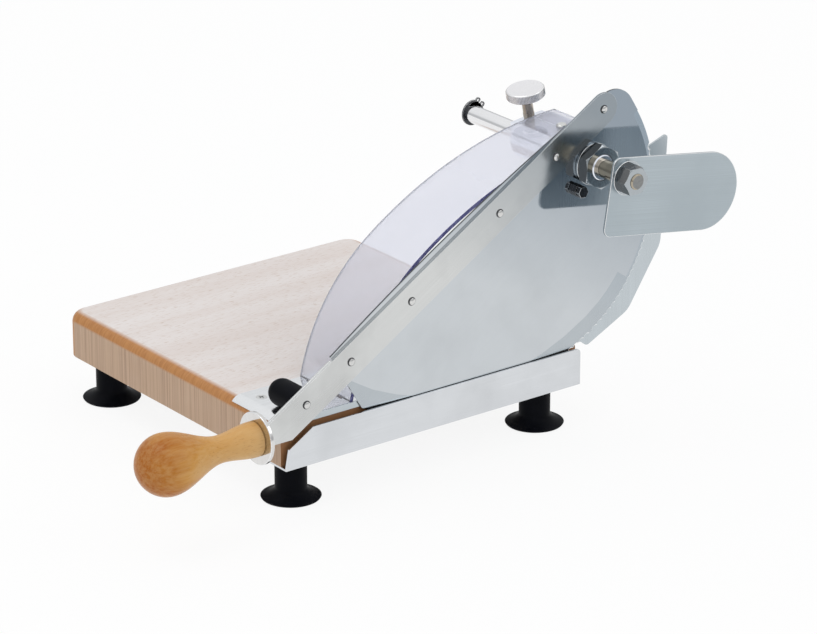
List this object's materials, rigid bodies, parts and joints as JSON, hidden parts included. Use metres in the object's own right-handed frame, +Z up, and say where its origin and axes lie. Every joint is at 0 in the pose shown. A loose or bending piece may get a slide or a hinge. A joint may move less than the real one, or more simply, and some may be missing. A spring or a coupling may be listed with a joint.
{
  "type": "lever bread slicer",
  "caption": "Lever bread slicer: curved scalloped blade on a long riveted lever, wooden board on suction feet, clear arched guard and sliding stop plate.",
  "frame": {"origin": "on the table, under the middle of the object's overall box", "axes": "+X along the blade from the handle to the pivot, +Y from the blade into the board, +Z up"},
  "size_m": [0.5118, 0.3362, 0.2581],
  "materials": {
    "beech": "sanded and oiled",
    "handle_wood": "oiled",
    "rubber": "satin",
    "bright_sheet": "polished",
    "satin_sheet": "satin",
    "blade_steel": "polished",
    "chrome": "polished",
    "zinc": "plain",
    "dark_steel": "blackened",
    "clear_sheet": "clear acrylic",
    "nylon": "plain"
  },
  "bodies": {
    "base": {"base_board": "beech", "foot_front_near": "rubber", "foot_front_far": "rubber", "foot_rear_near": "rubber", "foot_rear_far": "rubber", "foot_screws": "zinc", "front_rail": "bright_sheet", "rail_screws": "zinc", "top_plate": "bright_sheet", "plate_screws": "zinc", "upright": "satin_sheet", "hub_tube": "chrome", "thrust_washer": "nylon", "pivot_washer": "chrome", "pivot_nut": "chrome", "hand_guard": "clear_sheet", "guard_screws": "zinc"},
    "lever": {"blade": "blade_steel", "lock_screw": "dark_steel", "lock_nut": "zinc", "lever_bar": "bright_sheet", "bar_doubler": "bright_sheet", "lever_rivets": "zinc", "bumper": "rubber", "bumper_screw": "zinc", "handle_bolt": "zinc", "handle_ferrule": "bright_sheet", "handle_grip": "handle_wood"},
    "stop_slide": {"stop_rod": "chrome", "rod_circlip": "dark_steel"},
    "stop_swing": {"stop_plate": "satin_sheet", "stud_washer": "chrome", "stud_nut": "chrome"},
    "thumb_screw": {"thumb_knob": "chrome", "clamp_stud": "chrome"}
  },
  "joints": [
    {"name": "lever_hinge", "type": "hinge", "parent": "base", "child": "lever", "pos_m": [0.14738, -0.11585, 0.2052], "axis": [0, 1, 0], "range_deg": [0, 60]},
    {"name": "stop_rod_slide", "type": "slide", "parent": "base", "child": "stop_slide", "axis": [0, 1, 0], "range_m": [-0.06, 0.022]},
    {"name": "stop_plate_turn", "type": "hinge", "parent": "stop_slide", "child": "stop_swing", "pos_m": [0.14738, -0.15215, 0.2052], "axis": [0, 1, 0], "range_deg": [-60, 60]},
    {"name": "thumb_turn", "type": "hinge", "parent": "base", "child": "thumb_screw", "pos_m": [0.14738, -0.04655, 0.2052], "axis": [-0.1908, 0, 0.9816], "range_deg": [0, 180]}
  ]
}
